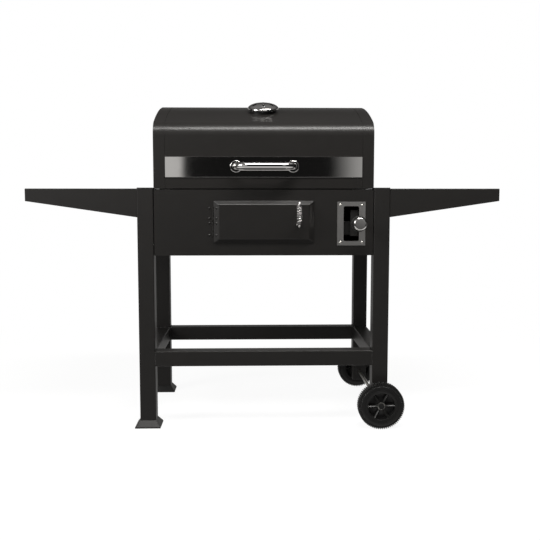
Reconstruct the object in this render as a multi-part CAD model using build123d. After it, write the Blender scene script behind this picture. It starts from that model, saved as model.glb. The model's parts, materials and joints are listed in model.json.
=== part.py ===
"""Charcoal cart grill: box firebox on a four-leg cart, hinged lid, charcoal door, tray lift and two wheels.

Millimetres. +X is to the right of a person facing the grill, +Y runs away from them, +Z is up.
The origin is on the ground, in the middle of the grill's width and of its whole depth.
"""
from build123d import *
import math
import os

# ---- driving dimensions ---------------------------------------------------------------------------
# cart
cart_width = 813.0            # outside to outside of the legs
cart_depth = 518.0            # front of the front legs to back of the rear legs
leg_size = 52.0               # square tube
tube_wall = 1.5
tube_corner = 3.0             # outside radius of the square tube's corners
leg_top = 780.0
cap_height = 3.0
right_leg_bottom = 45.0       # the wheels carry these legs
foot_base = 84.0
foot_lip = 4.0
foot_height = 24.0
rail_height = 50.0
rail_bottom = 202.5
shelf_length = 355.5          # leg to tip
shelf_tip_flange = 40.0
shelf_root_flange = 92.0
shelf_sheet = 1.2
shelf_fold = 2.5              # outside radius of the folds

# wheels
wheel_radius = 75.5
wheel_width = 38.0
wheel_gap = 6.0               # leg face to wheel
rim_radius = 43.0
axle_radius = 6.0
spoke_count = 6

# firebox
firebox_width = 705.2
firebox_bottom = 565.0
firebox_top = 777.0
firebox_inset = 2.0           # its front face behind the legs' front faces
sheet = 1.5
grate_level = 755.0
grate_height = 12.0

# charcoal door
door_width = 323.0
door_height = 134.5
door_middle_z = 673.6
door_raise = 10.0
door_gap = 2.0                # door edge to firebox front
door_side_bevel = 17.0
door_end_bevel = 12.0
door_sheet = 1.2
door_hinge_screws_z = (717.0, 685.0, 669.5, 631.0)

# tray lift
plate_middle_x = 281.5
plate_middle_z = 667.5
plate_width = 91.0
plate_height = 141.0
window_width = 50.0
window_height = 112.5
lever_x = 298.0
lever_z = 669.0
knob_reach = 92.0             # front of the knob, ahead of the front legs
lift_pivot_z = 650.0
tray_width = 570.0
tray_bottom = 630.0
tray_height = 45.0

# lid
lid_bottom = 780.0
lid_sheet = 1.2
lid_front_rise = 170.25       # straight part of the lid's front
front_corner_radius = 48.0
front_corner_turn = 66.4
crown_radius = 1000.0
crown_turn = 17.9
rear_crown_turn = 35.7
rear_corner_radius = 60.0
rear_corner_turn = 60.0
lid_seam_x = 315.8            # middle of the seam between the skin and an end cap
seam_gap = 1.2
trim_bottom = 816.0
trim_top = 880.5
trim_stand = 3.0
handle_level = 850.0
handle_left_x = -89.0
handle_right_x = 93.0
handle_radius = 11.25
handle_stand = 50.0
vent_y = 150.0                # behind the front legs' front faces
vent_rim_radius = 52.0
vent_lift = 11.0
vent_rise = 19.0

# fits
running = 0.06                # radial clearance of a turning pin
slip = 0.2                    # clearance of a bolt in its hole

# ---- places worked out from them ------------------------------------------------------------------
rear_reach = wheel_gap + wheel_width
front_y = -(cart_depth + rear_reach - knob_reach) / 2
back_y = front_y + cart_depth
leg_out = cart_width / 2
leg_in = leg_out - leg_size
leg_middle = leg_out - leg_size / 2
shelf_tip = leg_out + shelf_length
box_half = firebox_width / 2
box_front = front_y + firebox_inset
box_back = back_y - firebox_inset
axle_z = wheel_radius

parts_folder = "parts"
os.makedirs(parts_folder, exist_ok=True)


# ---- helpers --------------------------------------------------------------------------------------
def save(name, *solids):
    """Write one named node, made of one or more separate solids."""
    shape = solids[0] if len(solids) == 1 else Compound(children=list(solids))
    export_step(shape, f"{parts_folder}/{name}.step")


def block(x0, x1, y0, y1, z0, z1):
    """A box between two opposite corners."""
    middle = Pos((x0 + x1) / 2, (y0 + y1) / 2, (z0 + z1) / 2)
    return middle * Box(abs(x1 - x0), abs(y1 - y0), abs(z1 - z0))


def rod_x(x0, x1, y, z, radius):
    """A round bar along X."""
    return Pos((x0 + x1) / 2, y, z) * Rot(0, 90, 0) * Cylinder(radius, abs(x1 - x0))


def rod_y(y0, y1, x, z, radius):
    """A round bar along Y."""
    return Pos(x, (y0 + y1) / 2, z) * Rot(90, 0, 0) * Cylinder(radius, abs(y1 - y0))


def rod_z(z0, z1, x, y, radius):
    """A round bar along Z."""
    return Pos(x, y, (z0 + z1) / 2) * Cylinder(radius, abs(z1 - z0))


def prism(points, way):
    """A flat outline through 3D points, pushed along the vector way."""
    face = make_face(Polyline(*points, close=True))
    return extrude(face, amount=Vector(way).length, dir=way)


def both_sides(shape):
    """A shape and its mirror image across the middle of the grill."""
    return shape, mirror(shape, about=Plane.YZ)


def screw(head_radius, head_height, shank_radius, shank_length, nut_from=None):
    """A dome-headed screw along -Z with its head above z = 0, and its nut if nut_from is given."""
    dome_radius = (head_radius**2 + head_height**2) / (2 * head_height)
    dome = Pos(0, 0, head_height - dome_radius) * Sphere(dome_radius)
    head = dome & Pos(0, 0, head_height / 2) * Box(3 * head_radius, 3 * head_radius, head_height)
    shank = Pos(0, 0, -shank_length / 2 + 0.1) * Cylinder(shank_radius, shank_length + 0.2)
    solids = [head + shank]
    if nut_from is not None:
        nut = extrude(RegularPolygon(1.9 * shank_radius, 6) - Circle(shank_radius + 0.03), 1.6 * shank_radius)
        solids.append(Pos(0, 0, -nut_from - 1.6 * shank_radius) * nut)
    return solids


def placed(solids, place):
    """The same solids, moved to a place."""
    return [place * s for s in solids]


def facing_front(x, y, z):
    """Place of a screw whose head faces the front."""
    return Pos(x, y, z) * Rot(90, 0, 0)


def facing_back(x, y, z):
    """Place of a screw whose head faces the back."""
    return Pos(x, y, z) * Rot(-90, 0, 0)


def facing_x(x, y, z, way):
    """Place of a screw whose head faces +X (way 1) or -X (way -1)."""
    return Pos(x, y, z) * Rot(0, 90 * way, 0)


# ---- cart -----------------------------------------------------------------------------------------
leg_rows = {"front": front_y, "rear": back_y - leg_size}
firebox_bolt_z = (600.0, 742.0)
shelf_bolt_z = (705.0, 728.0)
bolt_radius = 3.0


def frame_bolt(length, grip):
    """One of the identical frame bolts: dome head, shank and nut, clamping a stack of thickness grip."""
    return screw(6.5, 3.2, bolt_radius, length, nut_from=grip)


def square_tube(outer, bore, way):
    """A square tube along the axis way, from its outer block and its bore's block."""
    outer = fillet(outer.edges().filter_by(way), tube_corner)
    bore = fillet(bore.edges().filter_by(way), tube_corner - tube_wall)
    return outer - bore


def make_legs():
    """Four square tubes, drilled for the axle, the firebox and the shelves."""
    for row, y0 in leg_rows.items():
        middle_y = y0 + leg_size / 2
        for side, way in (("left", -1), ("right", 1)):
            bottom = foot_height if way < 0 else right_leg_bottom
            outer = block(way * leg_in, way * leg_out, y0, y0 + leg_size, bottom, leg_top)
            bore = block(
                way * (leg_in + tube_wall), way * (leg_out - tube_wall),
                y0 + tube_wall, y0 + leg_size - tube_wall, bottom - 1, leg_top + 1,
            )
            leg = square_tube(outer, bore, Axis.Z)
            for z in firebox_bolt_z:
                leg -= rod_x(way * (leg_in - 1), way * (leg_in + 5), middle_y, z, bolt_radius + slip)
            for z in shelf_bolt_z:
                leg -= rod_x(way * (leg_out - 5), way * (leg_out + 1), middle_y, z, bolt_radius + slip)
            if way > 0:
                leg -= rod_y(y0 - 1, y0 + leg_size + 1, leg_middle, axle_z, axle_radius + slip)
            save(f"leg_{row}_{side}", leg)


def rounded_post(half, z0, z1, corner):
    """A square post on the Z axis with rounded upright edges."""
    post = block(-half, half, -half, half, z0, z1)
    return fillet(post.edges().filter_by(Axis.Z), corner)


def make_leg_ends():
    """Caps on all four leg tops and under the right legs, and flared feet under the left legs."""
    plug = leg_size / 2 - tube_wall - slip
    half = leg_size / 2
    caps = []
    feet = []
    for row, y0 in leg_rows.items():
        middle_y = y0 + leg_size / 2
        for way in (-1, 1):
            cap = rounded_post(half, 0, cap_height, tube_corner)
            cap += rounded_post(plug, -18, 0, tube_corner - tube_wall)
            cap = fillet(cap.faces().sort_by(Axis.Z)[-1].edges(), 1.2)
            caps.append(Pos(way * leg_middle, middle_y, leg_top) * cap)
        caps.append(Pos(leg_middle, middle_y, right_leg_bottom) * Rot(180, 0, 0) * cap)
        lip = block(
            -leg_middle - foot_base / 2, -leg_middle + foot_base / 2,
            middle_y - foot_base / 2, middle_y + foot_base / 2, 0, foot_lip,
        )
        bottom_outline = Pos(-leg_middle, middle_y, foot_lip) * Rectangle(foot_base, foot_base)
        top_outline = Pos(-leg_middle, middle_y, foot_height) * Rectangle(leg_size, leg_size)
        foot = lip + loft([bottom_outline, top_outline])
        post = rounded_post(plug, foot_height, foot_height + 28, tube_corner - tube_wall)
        foot += Pos(-leg_middle, middle_y, 0) * post
        feet.append(foot)
    save("leg_caps", *caps)
    save("feet", *feet)


def make_rails():
    """The lower frame: four square tubes welded between the legs."""
    z0 = rail_bottom
    z1 = rail_bottom + rail_height
    for row, y0 in leg_rows.items():
        outer = block(-leg_in, leg_in, y0, y0 + leg_size, z0, z1)
        bore = block(
            -leg_in - 1, leg_in + 1,
            y0 + tube_wall, y0 + leg_size - tube_wall, z0 + tube_wall, z1 - tube_wall,
        )
        save(f"lower_rail_{row}", square_tube(outer, bore, Axis.X))
    for side, way in (("left", -1), ("right", 1)):
        y0 = front_y + leg_size
        y1 = back_y - leg_size
        outer = block(way * leg_in, way * leg_out, y0, y1, z0, z1)
        bore = block(
            way * (leg_in + tube_wall), way * (leg_out - tube_wall),
            y0 - 1, y1 + 1, z0 + tube_wall, z1 - tube_wall,
        )
        save(f"lower_rail_{side}", square_tube(outer, bore, Axis.Y))


def shelf_wedge(inset, y0, y1):
    """A shelf's tapered outline as a solid, a distance inset inside its outer faces, with rounded folds."""
    x0 = leg_out + inset
    x1 = shelf_tip - inset
    drop = 20.0 if inset else 0.0
    top = leg_top - inset
    slope = (shelf_root_flange - shelf_tip_flange) / shelf_length
    root_z = leg_top - shelf_root_flange + slope * inset - drop
    tip_z = leg_top - shelf_tip_flange - slope * inset - drop
    front = y0 + inset
    corners = [(x0, front, root_z), (x1, front, tip_z), (x1, front, top), (x0, front, top)]
    wedge = prism(corners, (0, y1 - y0 - 2 * inset, 0))
    folds = wedge.edges().filter_by(lambda e: is_fold(e, x1, top))
    return fillet(folds, shelf_fold - inset)


def is_fold(edge, tip, top):
    """Whether an edge is a fold of the shelf: its front, back and tip edges on top, and the tip's corners."""
    at_top = abs(edge.center().Z - top) < 0.01
    at_root = abs(edge.center().X - leg_out) < 5
    at_tip = abs(edge.center().X - tip) < 0.01
    upright = abs((edge @ 1).Z - (edge @ 0).Z) > 5
    return (at_top and not at_root) or (at_tip and upright)


def make_shelves():
    """Two folded-sheet side shelves with tapered flanges. Returns their bolts through the legs."""
    y0 = front_y + 3
    y1 = back_y - 3
    t = shelf_sheet
    shelf = shelf_wedge(0, y0, y1) - shelf_wedge(t, y0, y1)
    bolts = []
    for leg_y in leg_rows.values():
        for z in shelf_bolt_z:
            y = leg_y + leg_size / 2
            shelf -= rod_x(leg_out - 1, leg_out + t + 1, y, z, bolt_radius + slip)
            bolts += placed(frame_bolt(14, t + tube_wall), facing_x(leg_out + t, y, z, 1))
    right, left = both_sides(shelf)
    save("side_shelf_right", right)
    save("side_shelf_left", left)
    return bolts + [mirror(b, about=Plane.YZ) for b in bolts]


# ---- axle and wheels ------------------------------------------------------------------------------
hub_radius = 14.0
hub_recess = 9.0
spoke_reach = 9.0             # of a spoke, each side of the wheel's middle plane
washer_sheet = 1.6
axle_nut_height = 6.5
axle_nut_end = 1.5            # thickness of its closed end
wheel_rows = {"front": (front_y, -1), "rear": (back_y, 1)}


def make_axle():
    """The axle through both right legs, with its spacers, washers and closed nuts."""
    hub_face = wheel_gap + wheel_width - hub_recess
    nut_end = hub_face + 0.4 + washer_sheet + axle_nut_height
    axle_end = nut_end - axle_nut_end
    save("axle", rod_y(front_y - axle_end, back_y + axle_end, leg_middle, axle_z, axle_radius))
    spacers = []
    nuts = []
    for face_y, way in wheel_rows.values():
        inner = face_y + way * (wheel_gap - 0.4)
        outer = face_y + way * (hub_face + 0.4)
        washer_end = outer + way * washer_sheet
        bore = rod_y(face_y, face_y + way * axle_end, leg_middle, axle_z, axle_radius + 0.05)
        spacers.append(rod_y(face_y, inner, leg_middle, axle_z, 10) - bore)
        spacers.append(rod_y(outer, washer_end, leg_middle, axle_z, 12.5) - bore)
        nut = extrude(RegularPolygon(10.5, 6), axle_nut_height)
        nut_y = washer_end if way < 0 else washer_end + axle_nut_height
        nuts.append(Pos(leg_middle, nut_y, axle_z) * Rot(90, 0, 0) * nut - bore)
    save("axle_spacers", *spacers)
    save("axle_nuts", *nuts)


def make_wheels():
    """Two one-piece moulded wheels, tyre ring, web, spokes and hub, that turn on the axle."""
    for row, (face_y, way) in wheel_rows.items():
        inner = face_y + way * wheel_gap
        outer = inner + way * wheel_width
        middle = (inner + outer) / 2
        wheel = rod_y(inner, outer, leg_middle, axle_z, wheel_radius)
        wheel = fillet(wheel.edges().filter_by(GeomType.CIRCLE), 2)
        wheel -= rod_y(inner - 60, inner + 60, leg_middle, axle_z, rim_radius)
        wheel += rod_y(middle - 2.5, middle + 2.5, leg_middle, axle_z, rim_radius + 1)
        for i in range(spoke_count):
            spoke = block(-5, 5, middle - spoke_reach, middle + spoke_reach, hub_radius - 3, rim_radius + 1)
            turn = Pos(leg_middle, 0, axle_z) * Rot(0, i * 360 / spoke_count, 0)
            wheel += turn * spoke
        wheel += rod_y(inner, outer - way * hub_recess, leg_middle, axle_z, hub_radius)
        wheel -= rod_y(inner - 60, inner + 60, leg_middle, axle_z, axle_radius + running)
        save(f"wheel_{row}", wheel)


# ---- firebox --------------------------------------------------------------------------------------
ledge_depth = 18.0
ledge_sheet = 2.0
plate_screw_x = 35.0          # from the middle of the adjuster plate
plate_screw_z = 60.0
plate_screw_radius = 2.0
door_open_x = 150.0
front_open_z = (610.0, 730.0)  # of both cut-outs in the front panel
door_left = -door_width / 2
hinge_x = door_left - 3.0
hinge_y = box_front - 1.1
knuckle_radius = 2.6
hinge_length = 46.0
hinge_middles = (
    (door_hinge_screws_z[0] + door_hinge_screws_z[1]) / 2,
    (door_hinge_screws_z[2] + door_hinge_screws_z[3]) / 2,
)
panel_screw_x = -175.7
door_screw_radius = 2.0


def make_firebox():
    """Five sheet panels: front with its cut-outs, back, two ends and a floor. Returns their bolts."""
    inner_half = box_half - sheet
    front = block(-box_half, box_half, box_front, box_front + sheet, firebox_bottom, firebox_top)
    front += block(
        -inner_half, inner_half, box_front + sheet, box_front + 14, firebox_top - sheet, firebox_top,
    )
    front -= block(-door_open_x, door_open_x, box_front - 1, box_front + 5, *front_open_z)
    cut_x = window_width / 2 + 2
    front -= block(
        plate_middle_x - cut_x, plate_middle_x + cut_x, box_front - 1, box_front + 5, *front_open_z,
    )
    for x in (plate_middle_x - plate_screw_x, plate_middle_x + plate_screw_x):
        for z in (plate_middle_z - plate_screw_z, plate_middle_z + plate_screw_z):
            front -= rod_y(box_front - 1, box_front + 5, x, z, plate_screw_radius + slip)
    for z in door_hinge_screws_z:
        front -= rod_y(box_front - 1, box_front + 5, panel_screw_x, z, door_screw_radius + slip)
    for z in hinge_middles:
        front -= block(
            hinge_x - knuckle_radius - 0.4, hinge_x + knuckle_radius + 0.4, box_front - 1, box_front + 5,
            z - hinge_length / 2 - 0.4, z + hinge_length / 2 + 0.4,
        )
    save("firebox_front", front)

    back = block(-box_half, box_half, box_back - sheet, box_back, firebox_bottom, firebox_top)
    back += block(
        -inner_half, inner_half, box_back - 14, box_back - sheet, firebox_top - sheet, firebox_top,
    )
    for x in lid_hinge_x:
        for offset in lid_hinge_bolt_x:
            back -= rod_y(box_back - 5, box_back + 1, x + offset, body_leaf_bolt_z, lid_bolt_radius + slip)
    for x in lift_bar_x:
        for z in pivot_bolt_z:
            back -= rod_y(box_back - 5, box_back + 1, x, z, bolt_radius + slip)
    save("firebox_back", back)

    end = block(
        inner_half, box_half, box_front + sheet, box_back - sheet, firebox_bottom, lid_bottom - 0.4,
    )
    bolts = []
    spacer_length = leg_in - box_half
    for leg_y in leg_rows.values():
        y = leg_y + leg_size / 2
        for z in firebox_bolt_z:
            end -= rod_x(inner_half - 1, box_half + 1, y, z, bolt_radius + slip)
            bolt = frame_bolt(16, sheet + spacer_length + tube_wall)
            bolts += placed(bolt, facing_x(inner_half, y, z, -1))
            ring = rod_x(box_half, leg_in, y, z, 7)
            bolts.append(ring - rod_x(box_half - 1, leg_in + 1, y, z, bolt_radius + 0.05))
    right, left = both_sides(end)
    save("firebox_end_right", right)
    save("firebox_end_left", left)

    floor = block(
        -inner_half, inner_half, box_front + sheet, box_back - sheet, firebox_bottom, firebox_bottom + sheet,
    )
    save("firebox_floor", floor)
    return bolts + [mirror(b, about=Plane.YZ) for b in bolts]


def make_grates():
    """Two cast cooking grates side by side, on a ledge along the front and one along the back."""
    ledges = []
    for wall, way in ((box_front + sheet, 1), (box_back - sheet, -1)):
        ledge = block(-345, 345, wall, wall + way * ledge_depth, grate_level - ledge_sheet, grate_level)
        ledge += block(-345, 345, wall, wall + way * ledge_sheet, grate_level - 20, grate_level)
        ledges.append(ledge)
    save("grate_ledges", *ledges)

    y0 = box_front + 4
    y1 = box_back - 4
    x0 = 2.0
    x1 = box_half - 4
    z0 = grate_level
    z1 = grate_level + grate_height
    frame_bar = 8.0
    bar = 6.0
    bar_count = 19
    grate = block(x0, x1, y0, y1, z0, z1)
    gap_start = x0 + frame_bar
    pitch = (x1 - frame_bar - gap_start + bar) / (bar_count + 1)
    thirds = (y1 - y0 - 2 * frame_bar) / 3
    for row in range(3):
        slot_y0 = y0 + frame_bar + row * thirds + (bar / 2 if row else 0)
        slot_y1 = y0 + frame_bar + (row + 1) * thirds - (bar / 2 if row < 2 else 0)
        for i in range(bar_count + 1):
            slot_x = gap_start + i * pitch
            grate -= block(slot_x, slot_x + pitch - bar, slot_y0, slot_y1, z0 - 1, z1 + 1)
    save("cooking_grates", *both_sides(grate))


# ---- charcoal door --------------------------------------------------------------------------------
door_back = box_front - door_gap
door_face = door_back - door_raise
spring_rod_radius = 4.0
spring_x = 111.0
spring_y = front_y - 46.0
spring_top = 742.0
spring_bottom = 657.0
spring_foot_top = (spring_x, door_face, 721.0)
spring_foot_bottom = (spring_x - 4, door_face, 665.0)
boss_height = 3.0
boss_radius = 6.5
coil_radius = 9.5
coil_wire = 1.5
coil_pitch = 8.4
coil_turns = 6.4
coil_bottom = 671.0
catch_z = (662.0, 678.0)


def door_solid():
    """The door's outer shape: a flat-topped frustum with its wide side towards the firebox."""
    back = Plane((0, door_back, door_middle_z), x_dir=(1, 0, 0), z_dir=(0, -1, 0))
    face = Plane((0, door_face, door_middle_z), x_dir=(1, 0, 0), z_dir=(0, -1, 0))
    wide = back * Rectangle(door_width, door_height)
    narrow = face * Rectangle(door_width - 2 * door_side_bevel, door_height - 2 * door_end_bevel)
    return loft([wide, narrow])


def bevel_y(x):
    """Y of the left bevel's outer surface at x."""
    return door_back - (x - door_left) * door_raise / door_side_bevel


def make_door():
    """The pressed door panel, its hinge leaves and screws, the catch and the spring-coil handle."""
    door = door_solid() - Pos(0, door_sheet, 0) * door_solid()
    screw_x = door_left + door_side_bevel / 2
    bevel_angle = math.degrees(math.atan2(door_raise, door_side_bevel))
    screws = []
    for z in door_hinge_screws_z:
        place = Pos(screw_x, bevel_y(screw_x), z) * Rot(90, -bevel_angle, 0)
        hole = place * Pos(0, 0, -3) * Cylinder(door_screw_radius + slip, 12)
        door -= hole
        screws += placed(screw(4, 2.6, door_screw_radius, 5.5, nut_from=2.3), place)
    save("charcoal_door_panel", door)

    leaves = []
    for middle in hinge_middles:
        z0 = middle - hinge_length / 2
        z1 = middle + hinge_length / 2
        third = hinge_length / 3
        knuckle = rod_z(z0 + third + 0.2, z1 - third - 0.2, hinge_x, hinge_y, knuckle_radius)
        tail = block(
            hinge_x, door_left + 8, hinge_y - 0.3, hinge_y + 0.8, z0 + third + 0.2, z1 - third - 0.2,
        )
        s0 = door_left + 3
        s1 = door_left + door_side_bevel - 1
        near = door_sheet + 0.02
        far = door_sheet + 1.2
        corners = [
            (s0, bevel_y(s0) + near, z0), (s1, bevel_y(s1) + near, z0),
            (s1, bevel_y(s1) + far, z0), (s0, bevel_y(s0) + far, z0),
        ]
        leaf = knuckle + tail + prism(corners, (0, 0, hinge_length))
        leaf -= rod_z(z0, z1, hinge_x, hinge_y, 1.5 + running)
        for z in door_hinge_screws_z:
            place = Pos(screw_x, bevel_y(screw_x), z) * Rot(90, -bevel_angle, 0)
            leaf -= place * Pos(0, 0, -3) * Cylinder(door_screw_radius + slip, 12)
        leaves.append(leaf)
    save("charcoal_door_hinge_leaves", *leaves)
    save("charcoal_door_screws", *screws)

    tongue = block(128, 144, door_face + door_sheet, door_face + 2 * door_sheet, *catch_z)
    tongue += block(142.8, 144, door_face + door_sheet, box_front + 10, *catch_z)
    save("charcoal_door_tongue", tongue)


def make_spring_handle():
    """A bent rod with a flange on each foot, and an open wire coil round its straight part."""
    path = FilletPolyline(
        (spring_foot_top[0], door_face + 2, spring_foot_top[2]),
        (spring_x, spring_y, spring_top),
        (spring_x, spring_y, spring_bottom),
        (spring_foot_bottom[0], door_face + 2, spring_foot_bottom[2]),
        radius=8,
    )
    start = Plane(path @ 0, z_dir=path % 0)
    rod = sweep(start * Circle(spring_rod_radius), path=path)
    boss_front = door_face - boss_height
    rod -= block(spring_x - 40, spring_x + 40, boss_front, boss_front + 30, 600, 760)
    for x, _, z in (spring_foot_top, spring_foot_bottom):
        rod += rod_y(boss_front, door_face, x, z, boss_radius)
    save("spring_handle_rod", rod)
    helix = Helix(coil_pitch, coil_pitch * coil_turns, coil_radius)
    wire_start = Plane(helix @ 0, z_dir=helix % 0)
    coil = sweep(wire_start * Circle(coil_wire), path=helix, is_frenet=True)
    save("spring_handle_coil", Pos(spring_x, spring_y, coil_bottom) * coil)


def make_door_fittings():
    """What stays on the firebox for the door: hinge leaves, pins, screws and the catch clip."""
    leaves = []
    pins = []
    screws = []
    wall = box_front + sheet
    for middle in hinge_middles:
        z0 = middle - hinge_length / 2
        z1 = middle + hinge_length / 2
        third = hinge_length / 3
        leaf = block(panel_screw_x - 9, hinge_x, wall, wall + 1.2, z0, z1)
        for a, b in ((z0, z0 + third - 0.2), (z1 - third + 0.2, z1)):
            leaf += rod_z(a, b, hinge_x, hinge_y, knuckle_radius)
            leaf += block(hinge_x - knuckle_radius, hinge_x, hinge_y, wall + 1.2, a, b)
        middle_gap = (z0 + third - 0.2, z1 - third + 0.2)
        leaf -= block(hinge_x - knuckle_radius - 0.6, hinge_x + 1, wall - 1, wall + 5, *middle_gap)
        leaf -= rod_z(z0 - 1, z1 + 1, hinge_x, hinge_y, 1.5 + 0.02)
        for z in door_hinge_screws_z:
            leaf -= rod_y(wall - 1, wall + 5, panel_screw_x, z, door_screw_radius + slip)
        leaves.append(leaf)
        pins.append(rod_z(z0, z1, hinge_x, hinge_y, 1.5))
    for z in door_hinge_screws_z:
        body = screw(4, 2.6, door_screw_radius, 7, nut_from=sheet + 1.2)
        screws += placed(body, facing_front(panel_screw_x, box_front, z))
    save("door_hinge_fixed_leaves", *leaves)
    save("door_hinge_pins", *pins)
    save("door_hinge_screws", *screws)
    clip = block(145.5, 168, wall, wall + 1.2, *catch_z)
    clip -= block(140, door_open_x + 0.5, wall - 1, wall + 0.4, *catch_z)
    clip += block(145.5, 146.7, wall + 0.4, wall + 15, *catch_z)
    save("door_catch_clip", clip)


# ---- tray lift ------------------------------------------------------------------------------------
lift_bar_x = (-lever_x, lever_x)
bar_sheet = 5.0
bar_height = 24.0
lever_height = 16.0
pivot_y = back_y - 28.0
pivot_radius = 5.0
pivot_bolt_z = (lift_pivot_z - 24, lift_pivot_z + 24)
ear_gap = 1.0
ear_sheet = 3.0
cross_bar_y = (front_y + 100, front_y + 400)
cross_bar_depth = 20.0
tray_front = front_y + 30
tray_back = front_y + 460
lever_end = front_y - 46.0
collar_length = 6.0


def make_lift_frame():
    """The welded lift: a left bar with two cross bars, the right bar that is also the lever, a shield."""
    half = bar_height / 2
    for x in lift_bar_x:
        x0 = x - bar_sheet / 2
        front_end = front_y + 60
        corners = [
            (x0, pivot_y, lift_pivot_z - half), (x0, pivot_y, lift_pivot_z + half),
            (x0, front_end, lift_pivot_z + half), (x0, front_end, lift_pivot_z - half),
        ]
        bar = prism(corners, (bar_sheet, 0, 0))
        bar += rod_x(x0, x0 + bar_sheet, pivot_y, lift_pivot_z, half)
        if x > 0:
            lever = [
                (x0, front_end, lift_pivot_z + half), (x0, front_y + 25, lever_z + lever_height / 2),
                (x0, lever_end, lever_z + lever_height / 2), (x0, lever_end, lever_z - lever_height / 2),
                (x0, front_y + 25, lever_z - lever_height / 2), (x0, front_end, lift_pivot_z - half),
            ]
            bar += prism(lever, (bar_sheet, 0, 0))
            bar += rod_y(lever_end - collar_length, lever_end, lever_x, lever_z, 10)
        bar -= rod_x(x0 - 1, x0 + bar_sheet + 1, pivot_y, lift_pivot_z, pivot_radius + running)
        if x > 0:
            save("lift_lever", bar)
        else:
            frame = bar
    reach = lever_x - bar_sheet / 2
    for y in cross_bar_y:
        y0 = y - cross_bar_depth / 2
        y1 = y + cross_bar_depth / 2
        bar = block(-reach, reach, y0, y1, tray_bottom - 5, tray_bottom)
        for way in (-1, 1):
            bar += block(way * (reach - 3), way * reach, y0, y1, tray_bottom - 5, lift_pivot_z + 8)
        frame += bar
    save("lift_frame", frame)

    shield_y = front_y + 13
    shield = block(lever_x - 18, lever_x + 7, shield_y, shield_y + 2, lever_z - 42, lever_z + 42)
    shield -= block(
        lever_x - bar_sheet / 2, lever_x + bar_sheet / 2, shield_y - 1, shield_y + 3,
        lever_z - lever_height / 2, lever_z + lever_height / 2,
    )
    save("lever_shield", shield)


def make_lift_pivots():
    """Clevis brackets on the firebox back and their pins. Returns their bolts."""
    brackets = []
    pins = []
    bolts = []
    wall = box_back - sheet
    ear = bar_sheet / 2 + ear_gap
    for x in lift_bar_x:
        bracket = block(x - 16, x + 16, wall - 3, wall, lift_pivot_z - 34, lift_pivot_z + 34)
        for way in (-1, 1):
            x0 = x + way * ear
            x1 = x + way * (ear + ear_sheet)
            bracket += block(x0, x1, pivot_y, wall, lift_pivot_z - 12, lift_pivot_z + 12)
            bracket += rod_x(x0, x1, pivot_y, lift_pivot_z, 12)
        reach = ear + ear_sheet
        bracket -= rod_x(x - reach - 1, x + reach + 1, pivot_y, lift_pivot_z, pivot_radius + 0.02)
        for z in pivot_bolt_z:
            bracket -= rod_y(wall - 4, wall + 1, x, z, bolt_radius + slip)
            bolts += placed(frame_bolt(11, sheet + 3), facing_back(x, box_back, z))
        brackets.append(bracket)
        pin = rod_x(x - reach - 2, x + reach + 1, pivot_y, lift_pivot_z, pivot_radius)
        head = rod_x(x + reach + 0.1, x + reach + 3, pivot_y, lift_pivot_z, pivot_radius + 2.5)
        pins.append(pin + head)
    save("lift_pivot_brackets", *brackets)
    save("lift_pivot_pins", *pins)
    return bolts


def make_tray():
    """The charcoal tray: an open pan with air slots, lying on the lift's cross bars."""
    half = tray_width / 2
    t = sheet
    tray = block(-half, half, tray_front, tray_back, tray_bottom, tray_bottom + tray_height)
    tray -= block(
        -half + t, half - t, tray_front + t, tray_back - t, tray_bottom + t, tray_bottom + tray_height + 1,
    )
    slot_rows = 5
    slot_columns = 13
    row_pitch = (tray_back - tray_front) / slot_rows
    column_pitch = tray_width / slot_columns
    for row in range(slot_rows):
        y = tray_front + (row + 0.5) * row_pitch
        for column in range(slot_columns):
            x = -half + (column + 0.5) * column_pitch
            tray -= block(x - 5, x + 5, y - 28, y + 28, tray_bottom - 1, tray_bottom + t + 1)
    save("charcoal_tray", tray)


def make_knob():
    """The lever's knob: a black heat-proof grip disc and a chrome cap."""
    collar_front = lever_end - collar_length
    grip_front = collar_front - 12
    cap_front = front_y - knob_reach
    grip = rod_y(grip_front, collar_front, lever_x, lever_z, 25)
    save("knob_grip", fillet(grip.edges().filter_by(GeomType.CIRCLE), 2.5))
    cap = rod_y(cap_front, grip_front, lever_x, lever_z, 20.5)
    front_edge = cap.edges().filter_by(GeomType.CIRCLE).sort_by(Axis.Y)[0]
    save("knob_cap", fillet(front_edge, 5))


def make_adjuster_plate():
    """The stainless plate round the lever's window, with three height marks, and its screws."""
    y0 = box_front - sheet
    plane = Plane((plate_middle_x, box_front, plate_middle_z), x_dir=(1, 0, 0), z_dir=(0, -1, 0))
    outline = Rectangle(plate_width, plate_height) - RectangleRounded(window_width, window_height, 5)
    plate = extrude(plane * outline, sheet)
    mark_x = plate_middle_x - plate_screw_x
    for i in range(3):
        z = plate_middle_z + (i - 1) * 39.0
        plate -= block(mark_x - 2 - i, mark_x + 2 + i, y0 - 1, y0 + 0.4, z - 1, z + 1)
    screws = []
    for x in (plate_middle_x - plate_screw_x, plate_middle_x + plate_screw_x):
        for z in (plate_middle_z - plate_screw_z, plate_middle_z + plate_screw_z):
            plate -= rod_y(y0 - 1, box_front + 1, x, z, plate_screw_radius + slip)
            body = screw(4, 2.6, plate_screw_radius, 8, nut_from=2 * sheet)
            screws += placed(body, facing_front(x, y0, z))
    save("adjuster_plate", plate)
    save("adjuster_plate_screws", *screws)


# ---- lid ------------------------------------------------------------------------------------------
lid_hinge_x = (-250.0, 250.0)
lid_hinge_bolt_x = (-20.0, 20.0)
lid_bolt_radius = 2.5
body_leaf_bolt_z = 722.0
lid_leaf_bolt_z = 806.0
lid_hinge_y = box_back + 8.0
lid_hinge_z = 779.0
lid_knuckle_radius = 6.0
lid_pin_radius = 3.0
bezel_radius = 19.0
bezel_height = 3.0
vent_hole_radius = 44.3


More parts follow.
